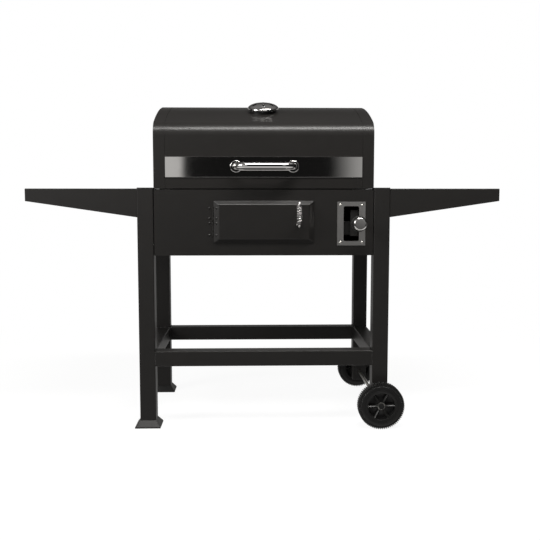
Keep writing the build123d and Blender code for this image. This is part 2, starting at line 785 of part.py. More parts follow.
def way_along(heading):
    """Unit vector in the YZ plane at a heading above +Y, in degrees."""
    return Vector(0, math.cos(math.radians(heading)), math.sin(math.radians(heading)))


def rear_crown_radius():
    """Radius of the crown's rear arc that brings the lid's back down at the firebox's back."""
    start = 90 - front_corner_turn
    middle = start - crown_turn
    rear = middle - rear_crown_turn
    sines = [math.sin(math.radians(a)) for a in (start, middle, rear)]
    reach = box_back - front_y
    reach -= front_corner_radius * (1 - sines[0])
    reach -= crown_radius * (sines[0] - sines[1])
    reach -= rear_corner_radius * (1 + sines[2])
    return reach / (sines[1] - sines[2])


lid_arcs = (
    (front_corner_radius, front_corner_turn),
    (crown_radius, crown_turn),
    (rear_crown_radius(), rear_crown_turn),
    (rear_corner_radius, rear_corner_turn),
)


def lid_face(inset, x):
    """The lid's cross-section, a distance inset inside its outer surface, as a face at x."""
    drop = 5.0 if inset else 0.0
    start = Vector(x, front_y + inset, lid_bottom - drop)
    point = Vector(x, front_y + inset, lid_bottom + lid_front_rise)
    edges = [Line(start, point)]
    heading = 90.0
    for radius, turn in lid_arcs:
        r = radius - inset
        centre = point + way_along(heading - 90) * r
        middle = centre - way_along(heading - turn / 2 - 90) * r
        end = centre - way_along(heading - turn - 90) * r
        edges.append(ThreePointArc(point, middle, end))
        point = end
        heading -= turn
    last = Vector(x, box_back - inset, lid_bottom - drop)
    edges.append(Line(point, last))
    edges.append(Line(last, start))
    return make_face(edges)


def lid_shell(outer, inner, x0, x1):
    """The part of the lid's wall between two insets, from x0 to x1."""
    shell = extrude(lid_face(outer, x0), x1 - x0, dir=(1, 0, 0))
    shell -= extrude(lid_face(inner, x0 - 1), x1 - x0 + 2, dir=(1, 0, 0))
    low = block(x0 - 1, x1 + 1, front_y - 9, back_y + 9, lid_bottom - 20, lid_bottom)
    return shell - low


def crown_place(y_behind_front):
    """Place on the crown's outer surface with its local Z along the surface's outward normal."""
    corner = Vector(0, front_y, lid_bottom + lid_front_rise)
    corner_centre = corner + way_along(0) * front_corner_radius
    heading = 90 - front_corner_turn
    crown_start = corner_centre - way_along(heading - 90) * front_corner_radius
    centre = crown_start + way_along(heading - 90) * crown_radius
    y = front_y + y_behind_front
    tilt = math.degrees(math.asin((centre.Y - y) / crown_radius))
    z = centre.Z + crown_radius * math.cos(math.radians(tilt))
    return Pos(0, y, z) * Rot(tilt, 0, 0)


def make_lid():
    """The lid's skin and its two end caps, with a joggled seam between them."""
    gap = seam_gap / 2
    skin = lid_shell(0, lid_sheet, -lid_seam_x + gap, lid_seam_x - gap)
    skin -= crown_place(vent_y) * Cylinder(vent_hole_radius, 20)
    for x in (handle_left_x, handle_right_x):
        skin -= rod_y(front_y - 2, front_y + 4, x, handle_level, 4 + slip)
    for x in lid_hinge_x:
        for offset in lid_hinge_bolt_x:
            skin -= rod_y(box_back - 4, box_back + 2, x + offset, lid_leaf_bolt_z, lid_bolt_radius + slip)
    save("lid_skin", skin)
    cap = lid_shell(0, lid_sheet, lid_seam_x + gap, box_half)
    cap += lid_shell(lid_sheet, 2 * lid_sheet, lid_seam_x - 20, lid_seam_x + 14)
    cap += extrude(lid_face(0, box_half - lid_sheet), lid_sheet, dir=(1, 0, 0))
    right, left = both_sides(cap)
    save("lid_end_right", right)
    save("lid_end_left", left)


def make_lid_trim():
    """The polished strip across the lid's front: a shallow channel with its edges turned back."""
    half = lid_seam_x - 1.0
    y0 = front_y - trim_stand
    strip = block(-half, half, y0, y0 + 1, trim_bottom, trim_top)
    strip += block(-half, half, y0, front_y, trim_bottom, trim_bottom + 1)
    strip += block(-half, half, y0, front_y, trim_top - 1, trim_top)
    for x in (handle_left_x, handle_right_x):
        strip -= rod_y(y0 - 1, y0 + 2, x, handle_level, 4 + slip)
    save("lid_trim_strip", strip)


def make_lid_handle():
    """The chromed tube handle with a threaded plug in each end, its bezels and screws."""
    foot = front_y - trim_stand
    bar = front_y - handle_stand
    path = FilletPolyline(
        (handle_left_x, foot, handle_level), (handle_left_x, bar, handle_level),
        (handle_right_x, bar, handle_level), (handle_right_x, foot, handle_level),
        radius=36,
    )
    start = Plane(path @ 0, z_dir=path % 0)
    wall = 2.0
    outer = sweep(start * Circle(handle_radius), path=path)
    inner = sweep(start * Circle(handle_radius - wall), path=path)
    handle = outer - inner
    bezels = []
    screws = []
    for x in (handle_left_x, handle_right_x):
        bezel = rod_y(foot - bezel_height, foot, x, handle_level, bezel_radius)
        rim = bezel.edges().filter_by(GeomType.CIRCLE).sort_by(Axis.Y)[0]
        bezel = fillet(rim, 2)
        bezels.append(bezel - rod_y(foot - 9, foot + 1, x, handle_level, handle_radius + 0.05))
        handle += rod_y(foot - 10, foot, x, handle_level, handle_radius - wall)
        handle -= rod_y(foot - 9, foot + 1, x, handle_level, 4.03)
        body = screw(8, 4, 4, 12)
        screws += placed(body, facing_back(x, front_y + lid_sheet, handle_level))
    save("lid_handle", handle)
    save("lid_handle_bezels", *bezels)
    save("lid_handle_screws", *screws)


def vent_slots(radius_in, radius_out, width, turn):
    """Six radial slots as cutters, long enough to pass through the dome or the plate."""
    cutters = []
    length = radius_out - radius_in - width
    for i in range(6):
        slot = extrude(SlotCenterToCenter(length, width), 60, both=True)
        cutters.append(Rot(0, 0, turn + 60 * i) * Pos((radius_in + radius_out) / 2, 0, 0) * slot)
    return cutters


def make_vent():
    """The chimney vent on the lid's crown: collar, slotted plate, rivet and the dome that turns."""
    place = crown_place(vent_y)
    top = vent_lift + vent_rise
    wall = Ellipse(vent_rim_radius, vent_rise) - Ellipse(vent_rim_radius - 1.2, vent_rise - 1.2)
    quarter = wall & Pos(60, 60) * Rectangle(120, 120)
    dome = Pos(0, 0, vent_lift) * revolve(Rot(90, 0, 0) * quarter, Axis.Z)
    for cutter in vent_slots(20, 42, 9, 30):
        dome -= cutter
    dome -= Pos(0, 0, top) * Cylinder(3 + running, 20)
    save("vent_dome", place * dome)

    plate_bottom = 7.0
    collar = Pos(0, 0, (plate_bottom - 6) / 2) * Cylinder(44, plate_bottom + 6)
    collar -= Pos(0, 0, (plate_bottom - 6) / 2) * Cylinder(41, plate_bottom + 8)
    plate = Pos(0, 0, plate_bottom + 0.75) * Cylinder(48, 1.5)
    for cutter in vent_slots(20, 39, 9, 0):
        plate -= cutter
    plate -= Pos(0, 0, plate_bottom) * Cylinder(3.05, 20)
    save("vent_base", place * (collar + plate))

    head = screw(6, 1.6, 3, top + 0.3 - plate_bottom + 3)[0]
    washer = Pos(0, 0, plate_bottom - 1.5) * Cylinder(7, 3)
    save("vent_rivet", place * (Pos(0, 0, top + 0.3) * head + washer))


def make_lid_hinges():
    """Two butt hinges behind the grill, between the firebox's back and the lid's back."""
    fixed = []
    moving = []
    pins = []
    body_bolts = []
    lid_bolts = []
    half = 30.0
    knuckle_end = 10.0
    y0 = box_back
    for x in lid_hinge_x:
        leaf = block(x - half, x + half, y0, y0 + 2, 706, lid_hinge_z - 3)
        for way in (-1, 1):
            a = x + way * knuckle_end
            b = x + way * half
            leaf += rod_x(a, b, lid_hinge_y, lid_hinge_z, lid_knuckle_radius)
            leaf += block(a, b, y0, lid_hinge_y, lid_hinge_z - 9, lid_hinge_z - 1)
        leaf -= rod_x(x - half - 1, x + half + 1, lid_hinge_y, lid_hinge_z, lid_pin_radius + 0.02)
        lid_leaf = block(x - half, x + half, y0, y0 + 2, lid_hinge_z + 4, 822)
        end = knuckle_end - 0.4
        lid_leaf += rod_x(x - end, x + end, lid_hinge_y, lid_hinge_z, lid_knuckle_radius)
        lid_leaf += block(x - end, x + end, y0 + 0.4, lid_hinge_y, lid_hinge_z + 1, lid_hinge_z + 10)
        lid_leaf -= rod_x(x - half, x + half, lid_hinge_y, lid_hinge_z, lid_pin_radius + running)
        for offset in lid_hinge_bolt_x:
            hole_x = x + offset
            leaf -= rod_y(y0 - 1, y0 + 3, hole_x, body_leaf_bolt_z, lid_bolt_radius + slip)
            lid_leaf -= rod_y(y0 - 1, y0 + 3, hole_x, lid_leaf_bolt_z, lid_bolt_radius + slip)
            body_bolt = screw(5, 2.5, lid_bolt_radius, 9, nut_from=2 + sheet)
            lid_bolt = screw(5, 2.5, lid_bolt_radius, 9, nut_from=2 + lid_sheet)
            body_bolts += placed(body_bolt, facing_back(hole_x, y0 + 2, body_leaf_bolt_z))
            lid_bolts += placed(lid_bolt, facing_back(hole_x, y0 + 2, lid_leaf_bolt_z))
        fixed.append(leaf)
        moving.append(lid_leaf)
        pin = rod_x(x - half - 2, x + half + 2, lid_hinge_y, lid_hinge_z, lid_pin_radius)
        pins.append(pin)
    save("lid_hinge_body_leaves", *fixed)
    save("lid_hinge_lid_leaves", *moving)
    save("lid_hinge_pins", *pins)
    save("lid_hinge_body_bolts", *body_bolts)
    save("lid_hinge_lid_bolts", *lid_bolts)


make_legs()
make_leg_ends()
make_rails()
make_axle()
make_wheels()
shelf_bolts = make_shelves()
firebox_bolts = make_firebox()
pivot_bolts = make_lift_pivots()
save("frame_bolts", *shelf_bolts, *firebox_bolts, *pivot_bolts)
make_grates()
make_door()
make_spring_handle()
make_door_fittings()
make_lift_frame()
make_tray()
make_knob()
make_adjuster_plate()
make_lid()
make_lid_trim()
make_lid_handle()
make_vent()
make_lid_hinges()
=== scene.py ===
"""Looks, lights and camera for a charcoal cart grill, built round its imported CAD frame. Metres, Z up."""

import json
import math

import bmesh
import bpy
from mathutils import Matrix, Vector


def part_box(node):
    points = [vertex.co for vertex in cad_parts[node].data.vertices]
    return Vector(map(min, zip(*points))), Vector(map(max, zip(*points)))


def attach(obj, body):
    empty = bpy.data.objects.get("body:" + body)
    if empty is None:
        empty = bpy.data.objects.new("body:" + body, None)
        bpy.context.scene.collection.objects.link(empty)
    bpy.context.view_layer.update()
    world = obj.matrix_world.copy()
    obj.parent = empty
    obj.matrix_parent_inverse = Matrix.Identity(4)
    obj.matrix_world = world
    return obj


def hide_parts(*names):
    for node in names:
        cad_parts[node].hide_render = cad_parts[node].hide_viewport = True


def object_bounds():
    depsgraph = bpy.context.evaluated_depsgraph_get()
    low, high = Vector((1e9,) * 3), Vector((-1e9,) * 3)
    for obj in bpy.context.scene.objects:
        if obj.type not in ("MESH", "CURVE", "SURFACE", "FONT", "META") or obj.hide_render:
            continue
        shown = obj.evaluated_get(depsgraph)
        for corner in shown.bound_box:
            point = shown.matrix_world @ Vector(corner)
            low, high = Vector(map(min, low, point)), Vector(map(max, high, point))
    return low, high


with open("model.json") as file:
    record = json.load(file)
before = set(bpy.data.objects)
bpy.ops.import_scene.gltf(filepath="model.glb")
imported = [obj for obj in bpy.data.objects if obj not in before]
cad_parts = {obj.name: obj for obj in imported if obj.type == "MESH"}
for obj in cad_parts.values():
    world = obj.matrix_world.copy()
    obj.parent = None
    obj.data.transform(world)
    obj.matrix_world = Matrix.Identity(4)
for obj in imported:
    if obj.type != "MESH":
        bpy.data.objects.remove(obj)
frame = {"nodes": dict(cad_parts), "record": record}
nodes = frame["nodes"]
record = frame["record"]
cad_low, cad_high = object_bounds()
MM = 0.001
DAYLIGHT = (1, 0.985, 0.965)      # faintly warm white of the room and of the fill and back lights
KEY_LIGHT = (1, 0.985, 0.96)


# ---- shader helpers -------------------------------------------------------------------------------
class Shader:
    """A material with one Principled shader and short calls to add nodes to it."""

    def __init__(self, name, colour, rough, metal=0.0, **sockets):
        self.material = bpy.data.materials.new(name)
        self.material.use_nodes = True
        self.tree = self.material.node_tree
        self.tree.nodes.clear()
        out = self.tree.nodes.new("ShaderNodeOutputMaterial")
        self.bsdf = self.tree.nodes.new("ShaderNodeBsdfPrincipled")
        self.tree.links.new(self.bsdf.outputs[0], out.inputs[0])
        self.bsdf.inputs["Base Color"].default_value = (*colour, 1)
        self.bsdf.inputs["Roughness"].default_value = rough
        self.bsdf.inputs["Metallic"].default_value = metal
        for socket, value in sockets.items():
            self.bsdf.inputs[socket.replace("_", " ")].default_value = value
        self.colour = colour
        self.rough = rough
        coords = self.tree.nodes.new("ShaderNodeTexCoord")
        self.place = coords.outputs["Object"]

    def link(self, a, b):
        self.tree.links.new(a, b)

    def stretched(self, sx, sy, sz):
        """Object coordinates scaled by axis, for brushed or drawn surfaces."""
        node = self.tree.nodes.new("ShaderNodeMapping")
        node.inputs["Scale"].default_value = (sx, sy, sz)
        self.link(self.place, node.inputs["Vector"])
        return node.outputs[0]

    def noise(self, scale, detail=2.0, rough=0.5, coords=None):
        node = self.tree.nodes.new("ShaderNodeTexNoise")
        node.inputs["Scale"].default_value = scale
        node.inputs["Detail"].default_value = detail
        node.inputs["Roughness"].default_value = rough
        self.link(coords or self.place, node.inputs["Vector"])
        return node.outputs["Fac"]

    def cells(self, scale):
        node = self.tree.nodes.new("ShaderNodeTexVoronoi")
        node.inputs["Scale"].default_value = scale
        self.link(self.place, node.inputs["Vector"])
        return node.outputs["Distance"]

    def ranged(self, value, low, high):
        """Spreads a value of 0 to 1 over low to high."""
        node = self.tree.nodes.new("ShaderNodeMapRange")
        node.inputs["To Min"].default_value = low
        node.inputs["To Max"].default_value = high
        self.link(value, node.inputs["Value"])
        return node.outputs[0]

    def vary_colour(self, value, spread, tint=(1.0, 1.0, 1.0)):
        """Mixes the base colour with a lighter or darker version of itself."""
        node = self.tree.nodes.new("ShaderNodeMix")
        node.data_type = "RGBA"
        node.inputs[6].default_value = (*[c * (1 - spread) for c in self.colour], 1)
        light = [c * (1 + spread) * t for c, t in zip(self.colour, tint)]
        node.inputs[7].default_value = (*light, 1)
        self.link(value, node.inputs[0])
        self.link(node.outputs[2], self.bsdf.inputs["Base Color"])

    def vary_rough(self, value, spread):
        self.link(self.ranged(value, self.rough - spread, self.rough + spread), self.bsdf.inputs["Roughness"])

    def bump(self, *layers):
        """Bump from (height, strength, distance in metres) layers, one on another."""
        normal = None
        for height, strength, distance in layers:
            node = self.tree.nodes.new("ShaderNodeBump")
            node.inputs["Strength"].default_value = strength
            node.inputs["Distance"].default_value = distance
            self.link(height, node.inputs["Height"])
            if normal is not None:
                self.link(normal, node.inputs["Normal"])
            normal = node.outputs[0]
        self.link(normal, self.bsdf.inputs["Normal"])


def paint(name, level, rough, peel):
    """Baked black enamel on sheet steel: fine orange peel over slow waves, a little uneven gloss."""
    s = Shader(name, (level * 1.06, level, level * 0.955), rough, Specular_IOR_Level=0.5)
    s.vary_colour(s.noise(7, 3), 0.10, (1.03, 1.0, 0.97))
    s.vary_rough(s.noise(26, 4, 0.6), 0.045)
    fine = (s.noise(950, 2), peel, 0.00006)
    coarse = (s.noise(190, 2), peel * 0.8, 0.00015)
    waves = (s.noise(9, 1), 0.10, 0.0012)
    s.bump(fine, coarse, waves)
    return s.material


def brushed(name, colour, rough, stretch, depth):
    """Brushed metal: fine scratches, long along the axes with the small scale in stretch."""
    s = Shader(name, colour, rough, 1.0)
    lines = s.noise(1.0, 3, 0.65, s.stretched(*stretch))
    s.vary_colour(lines, 0.05)
    s.vary_rough(lines, 0.05)
    s.bump((lines, depth, 0.00005))
    return s.material


def polished(name, colour, rough, wave=0.03):
    """Polished or plated metal with faint haze and slow waves in the sheet."""
    s = Shader(name, colour, rough, 1.0)
    s.vary_rough(s.noise(60, 4, 0.6), min(0.02, rough * 0.5))
    s.vary_colour(s.noise(14, 2), 0.03)
    s.bump((s.noise(16, 1), wave, 0.0006))
    return s.material


def moulded(name, level, rough, grain):
    """Moulded black plastic with a fine spark-eroded grain."""
    s = Shader(name, (level, level * 0.99, level * 0.97), rough)
    s.vary_colour(s.noise(35, 3), 0.10)
    s.vary_rough(s.noise(120, 3), 0.05)
    s.bump((s.noise(1700, 2), grain, 0.00008), (s.noise(320, 2), grain * 0.5, 0.0001))
    return s.material


def cast_iron(name):
    """Cast iron with a matt enamel: pitted, slightly mottled."""
    s = Shader(name, (0.020, 0.019, 0.018), 0.62)
    s.vary_colour(s.noise(40, 5, 0.6), 0.35, (1.1, 1.0, 0.92))
    s.vary_rough(s.noise(160, 4), 0.10)
    s.bump((s.noise(650, 4, 0.6), 0.35, 0.0002), (s.cells(300), 0.18, 0.0002))
    return s.material


def zinc(name):
    """Zinc-plated steel: soft spangle and a warm haze."""
    s = Shader(name, (0.66, 0.655, 0.64), 0.28, 1.0)
    s.vary_colour(s.cells(420), 0.08, (1.02, 1.0, 0.95))
    s.vary_rough(s.noise(260, 3), 0.07)
    s.bump((s.noise(900, 2), 0.05, 0.00005))
    return s.material


materials = {
    "cart_paint": paint("cart_paint", 0.0168, 0.43, 0.09),
    "firebox_paint": paint("firebox_paint", 0.0170, 0.38, 0.10),
    # The lid's enamel is glossier than the rest; its lighter base level is painted light, standing in for the
    # soft light that spills below the lid's highlight.
    "lid_paint": paint("lid_paint", 0.0200, 0.32, 0.06),
    "vent_black": paint("vent_black", 0.0180, 0.40, 0.10),
    "bare_steel": paint("bare_steel", 0.0080, 0.55, 0.14),
    "polished_trim": polished("polished_trim", (0.80, 0.79, 0.775), 0.04),
    "satin_stainless": brushed("satin_stainless", (0.76, 0.75, 0.735), 0.30, (90, 90, 2600), 0.10),
    "chrome_parts": polished("chrome_parts", (0.84, 0.83, 0.82), 0.045, 0.01),
    "grate_iron": cast_iron("grate_iron"),
    "moulded_plastic": moulded("moulded_plastic", 0.030, 0.46, 0.10),
    "wheel_plastic": moulded("wheel_plastic", 0.013, 0.36, 0.10),
    "grip_black": moulded("grip_black", 0.009, 0.50, 0.10),
    "zinc_steel": zinc("zinc_steel"),
}


# ---- CAD nodes: finishes and softened edges -------------------------------------------------------
SAME_POINT = 0.000004             # metres between vertices that are one point of the CAD solid
FOLD = 0.30                       # radians; the pressed door's creases turn by more than this
CORNER = 0.55                     # radians; from here on an edge is a corner, not a step of a curve
SQUARE_CORNER = 1.05              # radians; the pressed door's cut edges and holes turn by more
ANY_TURN = 3.2                    # radians; more than half a turn, so no upper limit


def softener(name, low, high):
    """Node group that joins split vertices and marks the edges to bevel: those that turn by low to high."""
    g = bpy.data.node_groups.new(name, "GeometryNodeTree")
    g.interface.new_socket("Geometry", in_out="INPUT", socket_type="NodeSocketGeometry")
    g.interface.new_socket("Geometry", in_out="OUTPUT", socket_type="NodeSocketGeometry")
    new = g.nodes.new
    start = new("NodeGroupInput")
    end = new("NodeGroupOutput")
    drop = new("GeometryNodeRemoveAttribute")
    drop.inputs["Name"].default_value = "custom_normal"
    merge = new("GeometryNodeMergeByDistance")
    merge.inputs["Distance"].default_value = SAME_POINT
    angle = new("GeometryNodeInputMeshEdgeAngle")
    above = new("ShaderNodeMath")
    above.operation = "GREATER_THAN"
    above.inputs[1].default_value = low
    below = new("ShaderNodeMath")
    below.operation = "LESS_THAN"
    below.inputs[1].default_value = high
    both = new("ShaderNodeMath")
    both.operation = "MULTIPLY"
    store = new("GeometryNodeStoreNamedAttribute")
    store.data_type = "FLOAT"
    store.domain = "EDGE"
    store.inputs["Name"].default_value = "bevel_weight_edge"
    g.links.new(angle.outputs[0], above.inputs[0])
    g.links.new(angle.outputs[0], below.inputs[0])
    g.links.new(above.outputs[0], both.inputs[0])
    g.links.new(below.outputs[0], both.inputs[1])
    g.links.new(start.outputs[0], drop.inputs[0])
    g.links.new(drop.outputs[0], merge.inputs[0])
    g.links.new(merge.outputs[0], store.inputs[0])
    g.links.new(both.outputs[0], store.inputs["Value"])
    g.links.new(store.outputs[0], end.inputs[0])
    return g


hard_edges = softener("hard_edges", CORNER, ANY_TURN)
pressed_edges = softener("pressed_edges", FOLD, SQUARE_CORNER)


def soften(name, width_mm, segments=2, group=None):
    """Rounds a CAD node's edges for the light, without changing its mesh."""
    o = nodes[name]
    g = o.modifiers.new("join", "NODES")
    g.node_group = group or hard_edges
    b = o.modifiers.new("edge", "BEVEL")
    b.width = width_mm * MM
    b.segments = segments
    b.limit_method = "WEIGHT"
    b.use_clamp_overlap = False


soft_widths = {
    0.45: (
        "firebox_back", "firebox_end_left", "firebox_end_right", "firebox_floor", "grate_ledges",
        "charcoal_tray", "lift_pivot_brackets", "lid_hinge_body_leaves", "lid_hinge_lid_leaves",
        "lever_shield", "door_catch_clip", "charcoal_door_tongue",
    ),
    0.35: ("lid_trim_strip",),
    1.20: ("cooking_grates",),
    0.80: ("lift_lever", "lift_frame", "axle_nuts"),
    1.60: ("feet",),
}
for width, names in soft_widths.items():
    for name in names:
        soften(name, width)
soften("charcoal_door_panel", 2.6, 4, pressed_edges)

for part in record["subparts"]:
    o = nodes[part["node"]]
    finish = materials[part["material_slot"]]
    if o.data.materials:
        for i in range(len(o.data.materials)):
            o.data.materials[i] = finish
    else:
        o.data.materials.append(finish)


# ---- mesh helpers ---------------------------------------------------------------------------------
SAME_VERTEX = 0.000002            # metres between vertices that are joined
SMOOTH_TURN = 0.6                 # radians; an edge that turns by more stays sharp


def add_object(name, bm, body, slot_name):
    """Finishes a bmesh as a piece that rides on a body."""
    bmesh.ops.remove_doubles(bm, verts=bm.verts, dist=SAME_VERTEX)
    bmesh.ops.recalc_face_normals(bm, faces=bm.faces)
    for f in bm.faces:
        f.smooth = True
    for e in bm.edges:
        if len(e.link_faces) == 2 and e.calc_face_angle(0) > SMOOTH_TURN:
            e.smooth = False
    mesh = bpy.data.meshes.new(name)
    bm.to_mesh(mesh)
    bm.free()
    o = bpy.data.objects.new(name, mesh)
    bpy.context.scene.collection.objects.link(o)
    o.data.materials.append(materials[slot_name])
    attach(o, body)
    return o


def ring_grid(bm, rows, closed_ring=True):
    """Faces between neighbouring rows of points; a closed ring joins each row's last point to its first."""
    made = [[bm.verts.new(p) for p in row] for row in rows]
    for a, b in zip(made, made[1:]):
        count = len(a)
        for i in range(count if closed_ring else count - 1):
            j = (i + 1) % count
            bm.faces.new((a[i], a[j], b[j], b[i]))
    return made


def spin(bm, centre, profile, count, offset=None):
    """Turns a profile of (radius, along) round the Y axis through centre.

    offset(k, i) gives the change in radius and along Y of point k of the profile at step i round the axis.
    """
    rows = []
    for k, (r, y) in enumerate(profile):
        row = []
        for i in range(count):
            outward, sideways = offset(k, i) if offset else (0.0, 0.0)
            a = 2 * math.pi * i / count
            rr = r + outward
            row.append((centre.x + rr * math.cos(a), centre.y + y + sideways, centre.z + rr * math.sin(a)))
        rows.append(row)
    ring_grid(bm, rows)


def tube_mesh(bm, points, radius, sides=12):
    """A round bar along a list of points, closed at both ends; radius is one number or one per point."""
    pts = [Vector(p) for p in points]
    normal = None
    rows = []
    for i, p in enumerate(pts):
        ahead = pts[min(i + 1, len(pts) - 1)] - pts[max(i - 1, 0)]
        ahead.normalize()
        if normal is None:
            normal = ahead.orthogonal().normalized()
        normal = (normal - ahead * normal.dot(ahead)).normalized()
        side = ahead.cross(normal)
        r = radius[i] if hasattr(radius, "__len__") else radius
        row = []
        for k in range(sides):
            a = 2 * math.pi * k / sides
            row.append(p + (normal * math.cos(a) + side * math.sin(a)) * r)
        rows.append(row)
    made = ring_grid(bm, rows)
    bm.faces.new(made[0])
    bm.faces.new(list(reversed(made[-1])))


# ---- wheels ---------------------------------------------------------------------------------------
# Outlines are (radius, distance from the wheel's middle plane) in millimetres, for one side of the wheel.
TYRE_SIDE = [
    (43.0, 2.0), (43.2, 14.5), (43.6, 17.6), (44.4, 18.6), (46.0, 19.0), (53.2, 19.0), (53.7, 18.2),
    (54.7, 18.2), (55.2, 19.0), (63.0, 19.0), (64.2, 18.7), (65.0, 18.4), (66.4, 18.6), (70.5, 18.6),
    (73.6, 18.2), (75.5, 17.0),
]
WHEEL_WEB = [(13.0, 10.6), (13.6, 9.6), (13.9, 2.6), (15.5, 1.6), (40.6, 1.2), (42.4, 1.8), (43.2, 3.4)]
WHEEL_HUB = [(6.2, 8.0), (6.2, 9.4), (7.0, 10.0), (11.6, 10.0), (12.4, 10.5), (13.0, 10.6)]
TOOTH_COUNT = 70
TOOTH_STEPS = (0.0, 0.0, 0.0, 0.9, 1.0, 0.9)   # share of the full gap depth, step by step over one tooth
SIDE_GAP_DEPTHS = (0.0, 0.6, 2.4, 4.0)         # at the last four points of TYRE_SIDE
TREAD_GAP_DEPTH = 4.0
GROOVE_GAP_DEPTH = 2.8                         # in the groove, which is already lower than the tread
SIDE_GAP_NARROWING = 1.8                       # how far a gap cuts in from the wheel's side
EDGE_GAP_NARROWING = 1.2                       # the same at the last point of TYRE_SIDE
GROOVE_DEPTH = 1.2                             # the groove runs round the middle of the tread
GROOVE_EDGE = 3.4
GROOVE_FLOOR = 2.6
ROUND_STEPS = 96
RIB_COUNT = 6
RIB_TURN = 2.0                                 # degrees that the ribs stand round from level
RIB_STATIONS = [                               # (radius, half width, height of the crest)
    (12.9, 3.6, 10.2), (13.6, 3.6, 13.8), (16.0, 3.6, 15.6), (30.0, 3.8, 16.4), (39.5, 4.0, 17.0),
    (43.8, 4.4, 17.6),
]
RIB_FOOT = 0.8                                 # height of the rib's foot
RIB_FLARE = 0.6                                # extra half width at the foot
RIB_CREST = 0.5                                # half width of the crest


def wheel(name, node, body):
    """Moulded wheel: toothed tread, stepped side ring, recessed web, six ribs and a hub."""
    low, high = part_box(node)
    mid = (low + high) / 2
    full_r = (high.z - low.z) / 2
    groove_r = full_r - GROOVE_DEPTH * MM
    bm = bmesh.new()
    last = len(TYRE_SIDE) - 1
    first_tooth_row = len(TYRE_SIDE) - len(SIDE_GAP_DEPTHS)
    profile = [(r * MM, -y * MM) for r, y in TYRE_SIDE]
    profile += [(full_r, -GROOVE_EDGE * MM), (groove_r, -GROOVE_FLOOR * MM)]
    profile += [(groove_r, GROOVE_FLOOR * MM), (full_r, GROOVE_EDGE * MM)]
    profile += [(r * MM, y * MM) for r, y in reversed(TYRE_SIDE)]

    def tooth(k, i):
        """Change in radius and along Y at profile point k and step i: the gaps between the teeth."""
        row = min(k, len(profile) - 1 - k)
        share = TOOTH_STEPS[i % len(TOOTH_STEPS)]
        if row < first_tooth_row:
            return 0.0, 0.0
        if row > last:
            depth = TREAD_GAP_DEPTH if row == last + 1 else GROOVE_GAP_DEPTH
            return -share * depth * MM, 0.0
        sideways = EDGE_GAP_NARROWING if row == last else SIDE_GAP_NARROWING
        toward_middle = 1 if k <= last else -1
        return -share * SIDE_GAP_DEPTHS[row - first_tooth_row] * MM, toward_middle * share * sideways * MM

    spin(bm, mid, profile, TOOTH_COUNT * len(TOOTH_STEPS), tooth)
    for sign in (-1, 1):
        for outline in (WHEEL_WEB, WHEEL_HUB):
            spin(bm, mid, [(r * MM, sign * y * MM) for r, y in outline], ROUND_STEPS)
        for i in range(RIB_COUNT):
            add_rib(bm, mid, math.radians(i * 360 / RIB_COUNT + RIB_TURN), sign)
    o = add_object(name, bm, body, "wheel_plastic")
    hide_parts(node)


def add_rib(bm, mid, turn, sign):
    """One deep rib from hub to rim, thicker at the rim, its crest chamfered both ways."""
    rows = []
    for r, w, top in RIB_STATIONS:
        chamfer = w - RIB_CREST
        outline = [(-w - RIB_FLARE, RIB_FOOT), (-w, top - chamfer)]
        outline += [(-w + chamfer * 0.15, top - chamfer * 0.8), (-RIB_CREST, top)]
        outline += [(-x, y) for x, y in reversed(outline)]
        row = []
        for x, y in outline:
            px = r * MM * math.cos(turn) - x * MM * math.sin(turn)
            pz = r * MM * math.sin(turn) + x * MM * math.cos(turn)
            row.append((mid.x + px, mid.y + sign * y * MM, mid.z + pz))
        rows.append(row)
    ring_grid(bm, rows, closed_ring=False)


for row in ("front", "rear"):
    wheel(f"tread_wheel_{row}", f"wheel_{row}", f"wheel_{row}")


# ---- spring grip on the charcoal door -------------------------------------------------------------
def spring_coil():
    """Open wire coil round the door handle's rod; its two ends close in on the rod."""
    low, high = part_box("spring_handle_coil")
    x = (low.x + high.x) / 2
    y = (low.y + high.y) / 2
    wire = 1.15 * MM
    tight = 5.6 * MM
    wide = (high.x - low.x) / 2 - wire
    z0 = low.z + 0.2 * MM
    z1 = high.z - 0.2 * MM
    turns = 6.4
    closing_turns = 0.8
    start_angle = 0.6
    uneven = 0.018
    per_turn = 28
    steps = int(turns * per_turn)
    points = []
    for i in range(steps + 1):
        t = i / steps
        turns_from_end = min(t, 1 - t) * turns
        blend = min(1.0, turns_from_end / closing_turns)
        blend = blend * blend * (3 - 2 * blend)
        r = tight + (wide - tight) * blend
        a = 2 * math.pi * t * turns + start_angle
        rise = t + uneven * math.sin(2 * math.pi * t)
        z = z0 + wire + (z1 - z0 - 2 * wire) * rise
        points.append((x + r * math.cos(a), y + r * math.sin(a), z))
    bm = bmesh.new()
    tube_mesh(bm, points, wire)
    o = add_object("spring_coil_wire", bm, "charcoal_door", "chrome_parts")
    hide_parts("spring_handle_coil")


spring_coil()


# ---- weld beads of the cart -----------------------------------------------------------------------
BEAD_STEP = 0.9 * MM
BEAD_TAPER = 3 * MM
BEAD_END = 0.35                   # share of the radius left at the very end
BEAD_RIPPLE = 0.16                # share of the radius
RIPPLE_STEP = 2.1                 # radians from one point to the next


def bead(bm, a, b, radius):
    """A rippled weld bead from a to b, with tapered ends."""
    a = Vector(a)
    b = Vector(b)
    length = (b - a).length
    count = max(8, int(length / BEAD_STEP))
    points = []
    radii = []
    for i in range(count + 1):
        t = i / count
        points.append(a.lerp(b, t))
        ends = min(1.0, min(t, 1 - t) * length / BEAD_TAPER + BEAD_END)
        radii.append(radius * ends * (1 + BEAD_RIPPLE * math.sin(i * RIPPLE_STEP)))
    tube_mesh(bm, points, radii, 10)


